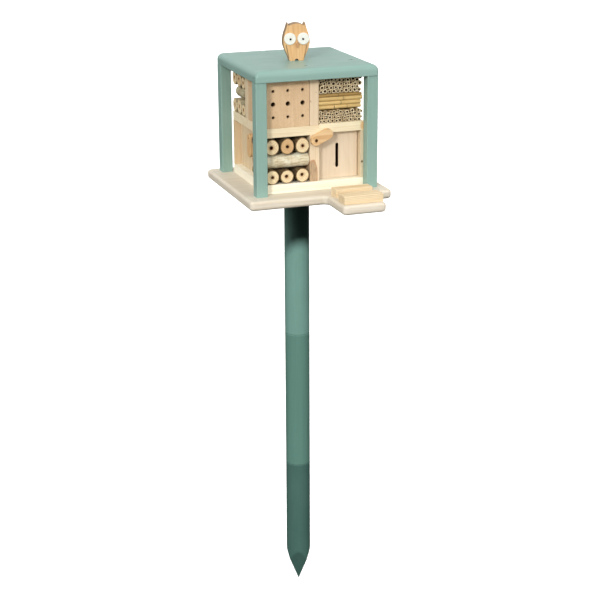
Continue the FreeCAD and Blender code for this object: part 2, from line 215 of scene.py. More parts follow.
def tint(r, g, b):
    """A colour given as 0 to 255 screen values, as linear red, green, blue and alpha."""
    def linear(v):
        v /= 255
        return v / 12.92 if v <= 0.04045 else ((v + 0.055) / 1.055) ** 2.4
    return (linear(r), linear(g), linear(b), 1.0)


class Graph:
    """A material and short calls that build its node graph."""

    def __init__(self, name):
        self.material = bpy.data.materials.new(name)
        self.material.use_nodes = True
        self.tree = self.material.node_tree
        self.shader = self.tree.nodes["Principled BSDF"]

    def put(self, socket, value):
        if isinstance(value, bpy.types.NodeSocket):
            self.tree.links.new(value, socket)
        elif value is not None:
            socket.default_value = value

    def node(self, kind, inputs=(), output=0, **settings):
        made = self.tree.nodes.new("ShaderNode" + kind)
        for key, value in settings.items():
            setattr(made, key, value)
        for key, value in inputs:
            self.put(made.inputs[key], value)
        return made.outputs[output]

    def math(self, operation, a, b=None, clamp=False):
        return self.node("Math", [(0, a), (1, b)], operation=operation, use_clamp=clamp)

    def noise(self, vector, scale=1.0, detail=3.0, roughness=0.55):
        return self.node("TexNoise", [("Vector", vector), ("Scale", scale), ("Detail", detail),
                                      ("Roughness", roughness)])

    def span(self, value, low, high, to_low=0.0, to_high=1.0):
        return self.node("MapRange", [("Value", value), ("From Min", low), ("From Max", high),
                                      ("To Min", to_low), ("To Max", to_high)])

    def mix(self, factor, a, b, mode="MIX"):
        return self.node("Mix", [(0, factor), (6, a), (7, b)], 2, data_type="RGBA", blend_type=mode)

    def scaled(self, vector, factors):
        return self.node("VectorMath", [(0, vector), (1, factors)], operation="MULTIPLY")

    def shifted(self, vector, offset):
        return self.node("VectorMath", [(0, vector), (1, offset)], operation="ADD")

    def split(self, vector):
        made = self.tree.nodes.new("ShaderNodeSeparateXYZ")
        self.put(made.inputs[0], vector)
        return made.outputs[0], made.outputs[1], made.outputs[2]

    def join(self, x, y, z):
        return self.node("CombineXYZ", [(0, x), (1, y), (2, z)])

    def attribute(self, name, output="Vector"):
        return self.node("Attribute", output=output, attribute_name=name)

    def place(self):
        return self.node("TexCoord", output="Object")

    def blob(self, vector, centre, radii, soft=0.35, ragged=0.0, scale=300.0):
        """1 inside an ellipsoid, 0 outside, with a soft and, if asked, ragged edge."""
        off = self.scaled(self.shifted(vector, [-c for c in centre]), [1 / r for r in radii])
        far = self.node("VectorMath", [(0, off)], 1, operation="LENGTH")
        if ragged:
            far = self.math("ADD", far, self.span(self.noise(self.scaled(vector, (scale,) * 3)), 0.0, 1.0,
                                                  -ragged, ragged))
        return self.span(far, 1 - soft, 1 + soft, 1.0, 0.0)

    def finish(self, colour, roughness, height, depth):
        """Joins colour, roughness and a height map, whose depth is in metres, to the shader."""
        self.put(self.shader.inputs["Base Color"], colour)
        self.put(self.shader.inputs["Roughness"], roughness)
        bump = self.node("Bump", [("Height", height), ("Distance", depth), ("Strength", 1.0)])
        self.put(self.shader.inputs["Normal"], bump)
        return self.material


GRAIN = {"X": (0, 1, 2), "Z": (2, 0, 1)}
RING_GAP = 2.6 * MM             # from one year ring to the next
RING_WANDER = 0.004 / 0.35      # how far the rings stray from true circles


def grain_space(g, axis, seed):
    """Object coordinates turned so that x runs along the grain, and moved to a new spot for each board."""
    parts = g.split(g.place())
    turned = g.join(*(parts[i] for i in GRAIN[axis]))
    return g.shifted(turned, (random.Random(seed).uniform(1, 9), 0, 0))


def year_rings(g, vector, pith):
    """0 in a ring's pale early wood, rising to 1 in its late wood, then falling sharply."""
    x, y, z = g.split(vector)
    slow = g.noise(g.scaled(vector, (2.2, 14, 14)), detail=2.0)
    drift = g.math("MULTIPLY", g.math("SUBTRACT", slow, 0.5), 2 * RING_WANDER)
    y = g.math("ADD", g.math("SUBTRACT", y, pith[0]), drift)
    z = g.math("ADD", g.math("SUBTRACT", z, pith[1]), drift)
    radius = g.math("SQRT", g.math("ADD", g.math("MULTIPLY", y, y), g.math("MULTIPLY", z, z)))
    phase = g.math("FRACT", g.math("DIVIDE", radius, RING_GAP))
    rise = g.span(phase, 0.35, 0.88)
    fall = g.span(phase, 0.9, 1.0, 1.0, 0.0)
    return g.math("MULTIPLY", g.math("MULTIPLY", rise, rise), fall)


def wood(name, axis, seed, light, dark, pith, contrast=0.5, patch=None):
    """Planed softwood: year rings about a pith line that lies along the grain, fibres and slow patches."""
    g = Graph(name)
    vector = grain_space(g, axis, seed)
    late = year_rings(g, vector, pith)
    fibres = g.noise(g.scaled(vector, (26, 1500, 1500)), detail=2.0)
    streaks = g.noise(g.scaled(vector, (5, 170, 170)), detail=3.0)
    clouds = g.noise(g.scaled(vector, (9, 34, 34)), detail=3.0)
    colour = g.mix(g.math("MULTIPLY", late, contrast), light, dark)
    colour = g.mix(g.span(streaks, 0.42, 0.75, 0.0, 0.45), colour, dark)
    colour = g.mix(g.span(fibres, 0.5, 0.85, 0.0, 0.30), colour, dark)
    colour = g.mix(g.span(clouds, 0.35, 0.75, 0.0, 0.16), colour, g.mix(0.55, dark, (0.9, 0.75, 0.55, 1)))
    if patch:
        colour = patch(g, colour)
    height = g.math("ADD", g.math("MULTIPLY", late, 0.45), g.math("MULTIPLY", fibres, 0.5))
    return g.finish(colour, g.span(streaks, 0.3, 0.8, 0.56, 0.72), height, 0.25 * MM)


def paint(name, axis, seed, base, worn, matt, grain=0.35, sheen=0.5):
    """Paint on timber: the grain stands through it as faint streaks, with slow shade changes."""
    g = Graph(name)
    vector = grain_space(g, axis, seed)
    streaks = g.noise(g.scaled(vector, (7, 260, 260)), detail=4.0)
    fibres = g.noise(g.scaled(vector, (40, 1300, 1300)), detail=2.0)
    clouds = g.noise(g.scaled(vector, (14, 22, 22)), detail=3.0)
    dark = g.mix(1.0, base, (0.80, 0.82, 0.82, 1), "MULTIPLY")
    colour = g.mix(g.span(streaks, 0.35, 0.75, 0.0, grain), base, dark)
    colour = g.mix(g.span(clouds, 0.35, 0.7, 0.0, 0.22), colour, worn)
    colour = g.mix(g.span(fibres, 0.55, 0.85, 0.0, grain * 0.6), colour, dark)
    roughness = g.span(clouds, 0.3, 0.7, matt - 0.05, matt + 0.12)
    height = g.math("ADD", g.math("MULTIPLY", streaks, 0.6), g.math("MULTIPLY", fibres, 0.35))
    g.shader.inputs["Specular IOR Level"].default_value = sheen
    return g.finish(colour, roughness, height, 0.3 * MM)


# ---------------------------------------------------------------- special materials

def beech(name, axis, seed, light, dark, patch=None):
    """Fine even wood with short dark flecks along the grain."""
    g = Graph(name)
    vector = grain_space(g, axis, seed)
    flecks = g.noise(g.scaled(vector, (420, 1500, 1500)), detail=1.0)
    streaks = g.noise(g.scaled(vector, (14, 420, 420)), detail=3.0)
    clouds = g.noise(g.scaled(vector, (16, 40, 40)), detail=2.0)
    mark = g.span(flecks, 0.60, 0.72, 0.0, 0.8)
    colour = g.mix(g.span(streaks, 0.4, 0.75, 0.0, 0.5), light, dark)
    colour = g.mix(g.span(clouds, 0.35, 0.7, 0.0, 0.35), colour, dark)
    colour = g.mix(mark, colour, g.mix(1.0, dark, (0.62, 0.52, 0.42, 1), "MULTIPLY"))
    if patch:
        colour = patch(g, colour)
    height = g.math("SUBTRACT", g.math("MULTIPLY", streaks, 0.5), g.math("MULTIPLY", mark, 0.5))
    return g.finish(colour, g.span(streaks, 0.3, 0.8, 0.58, 0.74), height, 0.2 * MM)


def cut_end(name, pale, brown, line, ring_count=5.0):
    """The sawn end of a branch: rings that follow its outline, fine checks and a stained rim."""
    g = Graph(name)
    local = g.attribute("local")
    rind = g.attribute("rind", "Fac")
    tone = g.attribute("tone", "Fac")
    wobble = g.noise(g.scaled(local, (30, 260, 260)), detail=3.0)
    phase = g.math("FRACT", g.math("ADD", g.math("MULTIPLY", rind, ring_count),
                                   g.math("MULTIPLY", wobble, 0.9)))
    late = g.math("MULTIPLY", g.span(phase, 0.45, 0.9), g.span(phase, 0.92, 1.0, 1.0, 0.0))
    speckle = g.noise(g.scaled(local, (900, 1900, 1900)), detail=2.0)
    clouds = g.noise(g.scaled(local, (40, 120, 120)), detail=3.0)
    wood_colour = g.mix(g.math("ADD", g.math("MULTIPLY", tone, 0.85), g.span(clouds, 0.4, 0.8, 0.0, 0.25)),
                        pale, brown)
    colour = g.mix(g.math("MULTIPLY", late, 0.8), wood_colour, line)
    colour = g.mix(g.span(clouds, 0.5, 0.75, 0.0, 0.4), colour, tint(226, 196, 160))
    colour = g.mix(g.span(speckle, 0.52, 0.8, 0.0, 0.45), colour, line)
    colour = g.mix(g.span(rind, 0.16, 0.42, 0.5, 0.0), colour, line)
    colour = g.mix(g.span(rind, 0.84, 0.96, 0.0, 0.85), colour, line)
    height = g.math("ADD", g.math("MULTIPLY", late, 0.35), speckle)
    return g.finish(colour, 0.78, height, 0.25 * MM)


def bark(name, light, dark, moss, ridge=0.5, scale=1.0):
    """Bark: lengthwise ridges, cross cracks and patches of lichen."""
    g = Graph(name)
    local = g.attribute("local")
    tone = g.attribute("tone", "Fac")
    ridges = g.noise(g.scaled(local, (60 * scale, 420 * scale, 420 * scale)), detail=4.0, roughness=0.65)
    cracks = g.noise(g.scaled(local, (520 * scale, 130 * scale, 130 * scale)), detail=3.0)
    patches = g.noise(g.scaled(local, (55, 70, 70)), detail=3.0)
    colour = g.mix(g.span(ridges, 0.32, 0.68), dark, light)
    colour = g.mix(g.span(cracks, 0.58, 0.72, 0.0, 0.6), colour, dark)
    colour = g.mix(g.span(patches, 0.48, 0.66, 0.0, 0.7), colour, moss)
    colour = g.mix(g.math("MULTIPLY", tone, 0.35), colour, dark)
    height = g.math("ADD", g.math("MULTIPLY", ridges, ridge), g.math("MULTIPLY", cracks, 0.35))
    return g.finish(colour, 0.85, height, 0.9 * MM)


def straw(name, light, dark, gloss):
    """The smooth skin of a reed or cane: long fibres, a tone of its own, and dark rings at its joints."""
    g = Graph(name)
    local = g.attribute("local")
    tone = g.attribute("tone", "Fac")
    rind = g.attribute("rind", "Fac")
    fibres = g.noise(g.scaled(local, (18, 1500, 1500)), detail=3.0)
    blotches = g.noise(g.scaled(local, (70, 150, 150)), detail=3.0)
    colour = g.mix(g.math("MULTIPLY", tone, 0.8), light, dark)
    colour = g.mix(g.span(fibres, 0.4, 0.75, 0.0, 0.45), colour, dark)
    colour = g.mix(g.span(blotches, 0.52, 0.72, 0.0, 0.4), colour, dark)
    colour = g.mix(g.math("MULTIPLY", rind, 0.75), colour, tint(92, 68, 38))
    return g.finish(colour, g.span(fibres, 0.3, 0.8, gloss, gloss + 0.18), fibres, 0.15 * MM)


def plain_fibre(name, light, dark):
    """Raw cut fibre, with a fine speckle."""
    g = Graph(name)
    local = g.attribute("local")
    tone = g.attribute("tone", "Fac")
    speckle = g.noise(g.scaled(local, (600, 1600, 1600)), detail=2.0)
    colour = g.mix(g.math("ADD", g.math("MULTIPLY", tone, 0.5), g.span(speckle, 0.45, 0.75, 0.0, 0.5)),
                   light, dark)
    return g.finish(colour, 0.85, speckle, 0.1 * MM)


def metal(name, colour, matt):
    """Metal with a thin uneven tarnish."""
    g = Graph(name)
    vector = g.place()
    clouds = g.noise(g.scaled(vector, (500, 500, 500)), detail=3.0)
    shade = g.mix(g.span(clouds, 0.4, 0.7, 0.0, 0.6), colour, tint(92, 74, 52))
    g.shader.inputs["Metallic"].default_value = 0.85
    return g.finish(shade, g.span(clouds, 0.3, 0.7, matt, matt + 0.2), clouds, 0.05 * MM)


# ---------------------------------------------------------------- mesh making

class Shell:
    """One mesh grown from rings of points; each point carries a local place, a tone and a rind value."""

    def __init__(self):
        self.points, self.local, self.tone, self.rind = [], [], [], []
        self.faces, self.paint = [], []

    def ring(self, points, local, tone=0.0, rind=0.0):
        start = len(self.points)
        self.points += [tuple(p) for p in points]
        self.local += [tuple(p) for p in local]
        self.tone += [tone] * len(points)
        self.rind += [rind] * len(points)
        return start

    def bridge(self, a, b, count, paint):
        for i in range(count):
            j = (i + 1) % count
            self.faces.append((a + i, a + j, b + j, b + i))
            self.paint.append(paint)

    def cap(self, start, count, paint):
        self.faces.append(tuple(range(start, start + count)))
        self.paint.append(paint)

    def chain(self, rings, count, paints):
        """Joins rings in order; paints has one entry per band, and the ends are closed with caps."""
        for (a, b), paint in zip(zip(rings, rings[1:]), paints):
            self.bridge(a, b, count, paint)
        self.cap(rings[0], count, paints[0])
        self.cap(rings[-1], count, paints[-1])

    def make(self, name, materials, slot, nodes, sharp=38):
        """Makes a shaded piece, rides it on the hotel and has it stand for the given CAD nodes."""
        mesh = bpy.data.meshes.new(name)
        mesh.from_pydata(self.points, [], self.faces)
        for material in materials:
            mesh.materials.append(material)
        mesh.polygons.foreach_set("material_index", self.paint)
        layer = mesh.attributes.new("local", "FLOAT_VECTOR", "POINT")
        layer.data.foreach_set("vector", [v for p in self.local for v in p])
        for title, values in (("tone", self.tone), ("rind", self.rind)):
            mesh.attributes.new(title, "FLOAT", "POINT").data.foreach_set("value", values)
        net = bmesh.new()
        net.from_mesh(mesh)
        bmesh.ops.recalc_face_normals(net, faces=net.faces)
        net.to_mesh(mesh)
        net.free()
        mesh.polygons.foreach_set("use_smooth", [True] * len(mesh.polygons))
        mesh.set_sharp_from_angle(angle=math.radians(sharp))
        piece = bpy.data.objects.new(name, mesh)
        bpy.context.scene.collection.objects.link(piece)
        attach(piece, "hotel")
        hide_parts(*nodes)


def dress(look, *nodes):
    """Gives CAD nodes a better material, in the slots that they already have."""
    for node in nodes:
        for spot in frame["nodes"][node].material_slots:
            spot.material = look


def bumps(x, y, z):
    """Smooth noise between about -1 and 1."""
    return noise.noise(Vector((x, y, z)))


# ---------------------------------------------------------------- branches

LOG_SIDES = 56
KNOT_SPREAD = 4.5 * MM
BARK_THICK = 0.9 * MM
BORE_DEPTH = 70 * MM
BORE_OVER_BOX = 1.48        # a bore's radius against half its opening's box, which fits inside it


def log_frame(node, axis):
    """Start of a log at its outer end, its direction, the two directions across it, radius and length."""
    low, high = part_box(node)
    centre = (low + high) / 2
    up = Vector((0, 0, 1))
    if axis == "Y":
        start = Vector((centre.x, low.y, centre.z))
        return start, Vector((0, 1, 0)), Vector((1, 0, 0)), up, (high.x - low.x) / 2, high.y - low.y
    start = Vector((low.x, centre.y, centre.z))
    return start, Vector((1, 0, 0)), Vector((0, -1, 0)), up, (high.z - low.z) / 2, high.x - low.x


def grow_log(shell, start, along, side, up, radius, length, seed, tone, hole=None, knots=(), crown=1.0):
    """Adds a branch: sawn ends with a proud bark rim, ridged bark and, if asked, a bore at its start.

    Knots are bumps at (distance, angle, height); crown stretches the upper half of the section.
    """
    angles = [TAU * k / LOG_SIDES for k in range(LOG_SIDES)]
    shift = Vector((seed * 0.37 % 1, seed * 0.11 % 1, seed * 0.73 % 1))
    oval = 1 + 0.018 * math.sin(seed)

    def outer(angle, s, inset=0.0):
        c, d = math.cos(angle), math.sin(angle)
        slow = bumps(1.1 * c + 5 * seed, 1.1 * d, 9 * s)
        ridge = bumps(5.5 * c + 3 * seed, 5.5 * d, 30 * s) + 0.6 * bumps(13 * c, 13 * d + seed, 55 * s)
        r = radius * (0.968 + 0.022 * slow) + 0.35 * MM * ridge - inset
        for knot_s, knot_angle, knot_height in knots:
            turn = (angle - knot_angle + math.pi) % TAU - math.pi
            off = (((s - knot_s) ** 2) + (turn * radius) ** 2) / KNOT_SPREAD ** 2
            r += knot_height * math.exp(-off)
        return Vector((c * r * oval, d * r / oval * (crown if d > 0 else 1.0), s))

    def add(flat_points, rind):
        world = [start + along * p.z + side * p.x + up * p.y for p in flat_points]
        local = [(p.z + shift.x, p.x + shift.y, p.y + shift.z) for p in flat_points]
        return shell.ring(world, local, tone, rind)

    def circle(radius_at, centre, s):
        return [Vector((centre[0] + radius_at * math.cos(a), centre[1] + radius_at * math.sin(a), s))
                for a in angles]

    rings, paints = [], []

    def push(points, rind, paint):
        rings.append(add(points, rind))
        paints.append(paint)

    if hole:
        hx, hy, hr = hole
        centre = (hx, hy)
        # the bore's wall takes the third look, painted brown as shade
        for s in (BORE_DEPTH, BORE_DEPTH - 0.5 * MM, 12 * MM, 3 * MM, 0.5 * MM):
            push(circle(hr if s < BORE_DEPTH else hr * 0.3, centre, s), 0.05, 2)
        push(circle(hr * 1.05, centre, 0.02 * MM), 0.15, 0)
        inner = circle(hr * 1.05, centre, 0)
    else:
        inner = circle(0.2 * MM, (0, 0), 0)
        push(inner, 0.0, 0)
    edge = [outer(a, 0, BARK_THICK) for a in angles]
    for share in (0.2, 0.4, 0.6, 0.8, 1.0):
        flat = [p.lerp(q, share) for p, q in zip(inner, edge)]
        for p in flat:
            p.z = 0.18 * MM * bumps(p.x * 260, p.y * 260, seed)
        push(flat, 0.12 + 0.82 * share, 0)
    push([outer(a, 0.1 * MM, BARK_THICK * 0.75) for a in angles], 0.97, 1)
    push([outer(a, 0.25 * MM, 0.15 * MM) for a in angles], 1.0, 1)
    steps = max(10, int(length / (2.6 * MM)))
    for k in range(1, steps):
        push([outer(a, length * k / steps) for a in angles], 1.0, 1)
    push([outer(a, length - 0.2 * MM, 0.2 * MM) for a in angles], 1.0, 1)
    push([outer(a, length, BARK_THICK) for a in angles], 0.95, 0)
    for share in (0.66, 0.33, 0.02):
        middle = Vector((0, 0, length * (1 - share)))
        push([outer(a, length, BARK_THICK) * share + middle for a in angles], share, 0)
    shell.chain(rings, LOG_SIDES, paints[1:])


def opening_box(name):
    """The two corners of an opening named in the record."""
    for opening in frame["record"]["physics"]["openings"]:
        if opening["name"] == name:
            return [Vector(corner) for corner in opening["box_m"]]


def bore_of(opening, start, side, up):
    """A log's bore: its place in the sawn end and its radius."""
    low, high = opening_box(opening)
    across = (low + high) / 2 - start
    half = (high.z - low.z) / 2
    return across.dot(side), across.dot(up), half * BORE_OVER_BOX


def make_logs(kind, axis, places, looks, tones, crowns):
    """Two rows of branches; tones and crowns are given where they differ from the usual ones."""
    for row in ("lower", "upper"):
        for place in places:
            node = kind + "_log_" + row + "_" + place
            start, along, side, up, radius, length = log_frame(node, axis)
            hole = bore_of(kind + "_log_hole_" + row + "_" + place, start, side, up)
            seed = sum(ord(c) for c in node) % 97
            shell = Shell()
            tone, crown = tones.get((row, place), 0.1), crowns.get(row, 1.0)
            grow_log(shell, start, along, side, up, radius, length, seed, tone, hole, crown=crown)
            shell.make(node + "_branch", looks, "log_wood", [node])


def make_cross_logs(node, axis, looks, knots):
    """The two branches of a cross layer, each as thick and long as the CAD layer says."""
    low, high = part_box(node)
    radius = (high.z - low.z) / 2
    shell = Shell()
    centre_z = (low.z + high.z) / 2
    for k in range(2):
        if axis == "X":
            y = high.y - radius if k else low.y + radius
            start, along, side = Vector((low.x, y, centre_z)), Vector((1, 0, 0)), Vector((0, -1, 0))
            length = high.x - low.x
        else:
            x = high.x - radius if k else low.x + radius
            start, along, side = Vector((x, low.y, centre_z)), Vector((0, 1, 0)), Vector((1, 0, 0))
            length = high.y - low.y
        grow_log(shell, start, along, side, Vector((0, 0, 1)), radius, length, 11 + 17 * k + len(node),
                 0.25, None, () if k else knots)
    shell.make(node + "_branches", looks, "birch_log", [node])


# ---------------------------------------------------------------- reeds and canes

def heap(low, high, floor, top, radii, placed):
    """Drops circles into a trough one after the other; each rolls to the lowest free spot."""
    spots = 90
    for r in radii:
        best = None
        for k in range(spots + 1):
            x = low + r + (high - low - 2 * r) * k / spots
            z = floor + r
            for px, pz, pr in placed:
                gap = abs(px - x)
                if gap < r + pr:
                    z = max(z, pz + math.sqrt((r + pr) ** 2 - gap ** 2))
            if best is None or z < best[1] - 1e-6:
                best = (x, z, r)
        if best[1] + r <= top:
            placed.append(best)
    return placed


def grow_tube(shell, start, along, side, radius, bore, length, rng, sides=16, joints=(), bow=0.0, tone=None):
    """Adds a hollow reed: slightly oval, with swellings at its joints and cut ends."""
    up = along.cross(side)
    oval = rng.uniform(0.0, 0.07)
    turn = rng.uniform(0, TAU)
    tone = rng.random() if tone is None else tone
    shift = rng.uniform(0, 5)
    bend = rng.uniform(0, TAU)

    def circle(r, s, squeeze=1.0):
        points, local = [], []
        sag = bow * math.sin(math.pi * s / length)
        centre = start + along * s + side * (sag * math.cos(bend)) + up * (sag * math.sin(bend))
        for k in range(sides):
            a = TAU * k / sides
            q = r * (1 + oval * squeeze * math.cos(2 * (a - turn)))
            points.append(centre + side * (q * math.cos(a)) + up * (q * math.sin(a)))
            local.append((s + shift, q * math.cos(a) + shift, q * math.sin(a)))
        return points, local

    stops = {0.0: 0.0, 0.25 * MM: 0.0, length - 0.25 * MM: 0.0, length: 0.0}
    for at in joints:
        for offset, swell in ((-3.0, 0.0), (-1.2, 0.6), (-0.4, 1.0), (0.4, 0.35), (1.2, 0.75), (3.0, 0.0)):
            stops[at + offset * MM] = swell
    for k in range(1, 6):
        stops.setdefault(length * k / 6, 0.0)
    rings, paints = [], []
    for s, swell in sorted(stops.items()):
        trim = 0.94 if s in (0.0, length) else 1.0
        points, local = circle(radius * (trim + 0.07 * swell), s)
        rings.append(shell.ring(points, local, tone, 1.0 if 0.3 < swell < 0.5 else 0.35 * swell))
        paints.append(0)
    # the inner rings take the third look, whose dark brown is painted shade
    for r, s, paint in ((bore, length, 1), (bore * 0.97, length - 1 * MM, 2), (bore * 0.95, length / 2, 2),
                        (bore * 0.97, 1 * MM, 2), (bore, 0.0, 2)):
        points, local = circle(r, s)
        rings.append(shell.ring(points, local, tone))
        paints.append(paint)
    for (a, b), paint in zip(zip(rings, rings[1:]), paints[1:]):
        shell.bridge(a, b, sides, paint)
    shell.bridge(rings[-1], rings[0], sides, 1)


def make_reeds(node, thinnest, thickest, wall, looks, seed, ceiling):
    """A heap of reeds that run from front to back, as full as the CAD layer."""
    rng = random.Random(seed)
    low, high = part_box(node)
    radii = [rng.uniform(thinnest, thickest) for _ in range(90)]
    shell = Shell()
    for x, z, r in heap(low.x, high.x + 0.3 * MM, low.z, ceiling, radii, []):
        start = Vector((x, low.y - 0.4 * MM + rng.uniform(0, 3.2) * MM, z))
        length = high.y - start.y - rng.uniform(0, 4) * MM
        grow_tube(shell, start, Vector((0, 1, 0)), Vector((1, 0, 0)), r * 0.985, r * (1 - wall), length, rng)
    shell.make(node + "_stalks", looks, "reed", [node])


def make_canes(node, looks):
    """Canes laid across: four stand one above the other at the front, the lowest of them broken."""
    rng = random.Random(31)
    low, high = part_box(node)
    full = (high.z - low.z) / 8
    first, z = [], low.z
    for share in (1.02, 1.06, 1.0, 0.78):
        first.append((low.y + full * share, z + full * share, full * share * 0.98))
        z += 2 * full * share
    radii = [rng.uniform(0.86, 1.06) * full for _ in range(130)]
    shell = Shell()
    along, side = Vector((1, 0, 0)), Vector((0, 1, 0))
    for k, (y, z, r) in enumerate(heap(low.y, high.y, low.z, high.z + 0.4 * MM, radii, first)):
        reach = high.x - low.x - rng.uniform(0, 4.5) * MM
        pieces = [(0.0, reach)]
        if k == 0:
            pieces = [(0.0, 0.36 * reach), (0.375 * reach, reach)]
        tone = {0: 0.15, 1: 0.0, 2: 0.1, 3: 1.0}.get(k)
        for begin, end in pieces:
            joints = [(end - begin) * rng.uniform(0.25, 0.75)] if end - begin > 40 * MM else []
            start = Vector((low.x + begin, y, z))
            grow_tube(shell, start, along, side, r * 0.985, r * 0.5, end - begin, rng, 18, joints, 0.25 * MM,
                      tone)
    shell.make(node + "_stalks", looks, "cane", [node])


# ---------------------------------------------------------------- stake

STAKE_SIDES = 96
STAKE_POINT = 75 * MM           # length of its four-sided point
STAKE_CHAMFER = 1.2 * MM


def make_stake_section(node, look, tip=False):
    """A turned pole with tool marks, small dents and chamfered ends; the last one has a four-sided point."""
    low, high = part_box(node)
    radius = (high.x - low.x) / 2
    flats = [math.radians(-20 + 90 * k) for k in range(4)]
    seed = high.z * 7
    levels = [high.z, high.z - 0.5 * MM, high.z - STAKE_CHAMFER]
    end = low.z if tip else low.z + STAKE_CHAMFER
    step = 3.0 * MM
    while levels[-1] - step > end + 0.5 * step:
        levels.append(levels[-1] - step)
    levels += [low.z + 0.6 * MM] if tip else [low.z + STAKE_CHAMFER, low.z + 0.5 * MM, low.z]
    shell, rings = Shell(), []
    for z in levels:
        near = min(high.z - z, STAKE_CHAMFER) if tip else min(high.z - z, z - low.z, STAKE_CHAMFER)
        points, local = [], []
        for k in range(STAKE_SIDES):
            a = TAU * k / STAKE_SIDES
            c, d = math.cos(a), math.sin(a)
            r = radius - (STAKE_CHAMFER - near)
            r += 0.10 * MM * bumps(2.2 * c + seed, 2.2 * d, 6 * z)
            r += 0.12 * MM * bumps(9 * c + seed, 9 * d, 14 * z)
            dent = max(0.0, bumps(3 * c, 3 * d + seed, 16 * z) - 0.52)
            r -= 2.2 * MM * dent
            if tip:
                half = radius * (z - low.z) / STAKE_POINT
                r = min(r, half / max(math.cos(a - flat) for flat in flats))
            points.append((r * c, r * d, z))
            local.append((z, r * c, r * d))
        rings.append(shell.ring(points, local))
    shell.chain(rings, STAKE_SIDES, [0] * (len(rings) - 1))
    shell.make(node + "_pole", [look], "stake_stain", [node], 30)


# ---------------------------------------------------------------- figure in single boards

def heartwood(g, colour):
    """The arched reddish heart that shows at the foot of the lower divider."""
    low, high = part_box("lower_divider")
    spring = low.z + 14 * MM        # where the sides of the arch stop rising straight
    vector = g.place()
    streaks = g.noise(g.scaled(vector, (700, 300, 90)), detail=3.0)
    x, y, z = g.split(vector)
    arch = g.join(x, y, g.math("MAXIMUM", z, spring))
    centre = (low.x + 5.3 * MM, low.y, spring)
    inside = g.blob(arch, centre, (9.4 * MM, 30 * MM, 26.5 * MM), 0.12, 0.12, 160.0)
    rim = g.math("MULTIPLY", inside, g.math("SUBTRACT", 1.0, inside))
    shade = g.mix(g.span(streaks, 0.35, 0.7), tint(198, 168, 131), tint(143, 112, 84))
    colour = g.mix(g.math("MULTIPLY", inside, 0.85), colour, shade)
    return g.mix(g.math("MULTIPLY", rim, 2.4, True), colour, tint(181, 115, 66))


def end_knot(g, colour):
    """A small orange knot at the right end of the right shelf."""
    low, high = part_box("right_shelf")
    centre = (high.x - 1.5 * MM, low.y, low.z + 9.5 * MM)
    inside = g.blob(g.place(), centre, (5.2 * MM, 30 * MM, 8.5 * MM), 0.3, 0.2)
    return g.mix(g.math("MULTIPLY", inside, 0.75), colour, tint(222, 172, 112))


def rusty_nail(g, colour):
    """A dark spot round the brad in the front edge of the right side wall."""
    low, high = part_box("side_wall_brad")
    centre = (low + high) / 2
    stain = g.blob(g.place(), (centre.x, low.y, centre.z), (1.9 * MM, 2 * MM, 2.4 * MM), 0.3, 0.25, 500.0)
    return g.mix(g.math("MULTIPLY", stain, 0.9), colour, tint(70, 54, 40))


def dark_specks(g, colour):
    """Pale reddish board with a few short dark flecks."""
    specks = g.noise(g.scaled(g.place(), (300, 300, 170)), detail=1.0)
    return g.mix(g.span(specks, 0.70, 0.76, 0.0, 0.75), colour, tint(150, 112, 84))


def end_stains(g, colour):
    """Brown and reddish marks on the outer end of the lower cross board."""
    vector = g.place()
    low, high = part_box("lower_cross_board")
    middle = (low.y + high.y) / 2
    brown = g.blob(vector, (low.x, middle, low.z + 32 * MM), (4 * MM, 11 * MM, 13 * MM), 0.3, 0.25)
    red = g.blob(vector, (low.x, middle, low.z + 12 * MM), (4 * MM, 10 * MM, 7 * MM), 0.3, 0.25)
    colour = g.mix(g.math("MULTIPLY", brown, 0.8), colour, tint(168, 130, 76))
    return g.mix(g.math("MULTIPLY", red, 0.6), colour, tint(224, 176, 150))


def slot_shade(g, colour):
    """The walls of the door's slot, painted dark brown as shade."""
    low, high = opening_box("butterfly_door_slot")
    front, back = (corner.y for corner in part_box("front_door"))
    x, y, z = g.split(g.place())
    off = g.math("ABSOLUTE", g.math("SUBTRACT", x, (low.x + high.x) / 2))
    half = (high.x - low.x) / 2
    across = g.span(off, half + 0.45 * MM, half + 0.75 * MM, 1.0, 0.0)
    below, above = low.z - 4 * MM, high.z + 4 * MM
    along = g.math("MULTIPLY", g.span(z, below - 0.3 * MM, below),
                   g.span(z, above, above + 0.3 * MM, 1.0, 0.0))
    skin = 0.12 * MM
    behind = g.span(y, front + skin, front + 2 * skin)
    before = g.span(y, back - 2 * skin, back - skin, 1.0, 0.0)
    shown = g.math("MULTIPLY", g.math("MULTIPLY", across, along), g.math("MULTIPLY", behind, before))
    # painted shade: the slot's side walls are darkened
    return g.mix(shown, colour, tint(52, 34, 20))


def bored_holes(g, colour):
    """The drilled block's nine bores, painted darker and darker inwards as shade."""
    vector = g.place()
    depth = g.split(vector)[1]
    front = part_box("drilled_block")[0].y
    # painted shade: each bore's wall darkens with depth into the block
    bore_shade = g.span(depth, front + 0.5 * MM, front + 7 * MM, 0.0, 0.85)
    for opening in frame["record"]["physics"]["openings"]:
        if opening["name"].startswith("block_hole"):
            low, high = (Vector(corner) for corner in opening["box_m"])
            reach = (high.x - low.x) / 2 * 1.7
            centre = (low + high) / 2
            bore = g.blob(vector, centre, (reach, 1.0, reach), 0.02)
            colour = g.mix(g.math("MULTIPLY", bore, bore_shade), colour, tint(58, 34, 18))
    return colour


